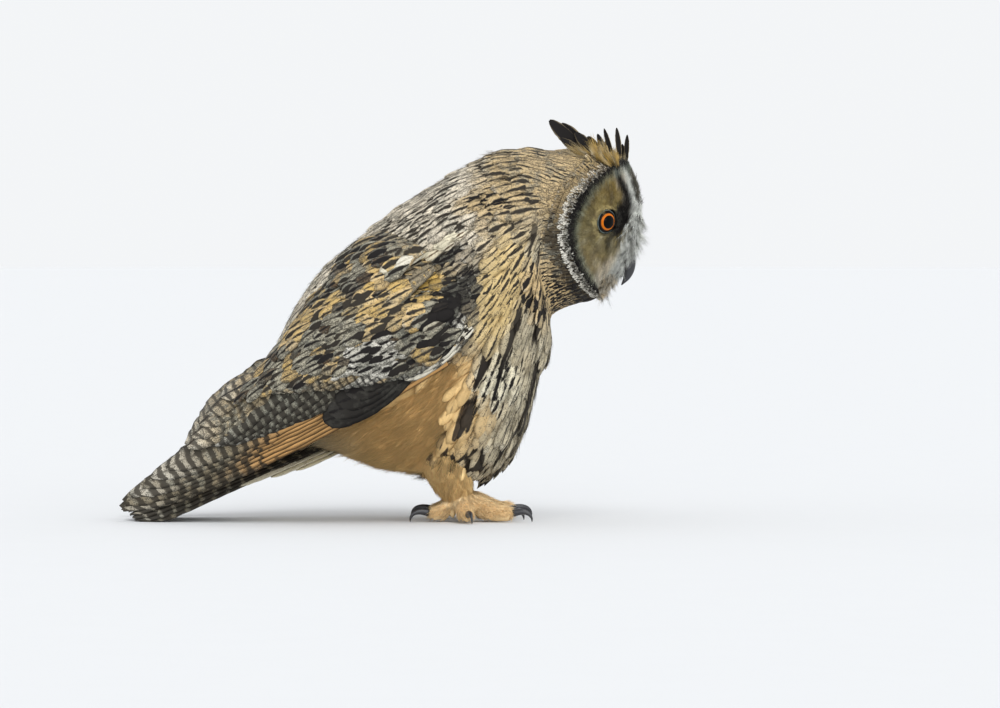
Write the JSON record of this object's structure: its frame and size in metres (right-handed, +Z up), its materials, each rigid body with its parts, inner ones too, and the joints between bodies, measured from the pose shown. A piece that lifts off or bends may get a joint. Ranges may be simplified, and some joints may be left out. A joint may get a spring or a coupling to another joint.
{
  "type": "long eared owl",
  "caption": "Life-size still model of a long-eared owl standing with folded wings, raised ear tufts and its tail resting on the floor.",
  "frame": {"origin": "on the floor, under the centre of the bounding box", "axes": "+X the way the owl faces, +Y its left side, +Z up"},
  "size_m": [0.2953, 0.1394, 0.2278],
  "materials": {
    "face_plumage": "soft feathers",
    "body_plumage": "soft streaked feathers",
    "wing_plumage": "mottled flight feathers",
    "leg_plumage": "short dense feathers",
    "tuft_plumage": "dark feathers",
    "iris": "wet, clear",
    "horn": "satin horn"
  },
  "bodies": {
    "root": {"head": "face_plumage", "bill_upper": "horn", "bill_lower": "horn", "eye_right": "iris", "eye_left": "iris", "ear_tuft_right": "tuft_plumage", "ear_tuft_left": "tuft_plumage", "neck": "body_plumage", "torso": "body_plumage", "wing_right": "wing_plumage", "wing_left": "wing_plumage", "tail": "wing_plumage", "leg_right": "leg_plumage", "leg_left": "leg_plumage", "foot_right": "leg_plumage", "foot_left": "leg_plumage", "claw_right_inner": "horn", "claw_right_middle": "horn", "claw_right_outer": "horn", "claw_right_hind": "horn", "claw_left_inner": "horn", "claw_left_middle": "horn", "claw_left_outer": "horn", "claw_left_hind": "horn"}
  },
  "joints": []
}
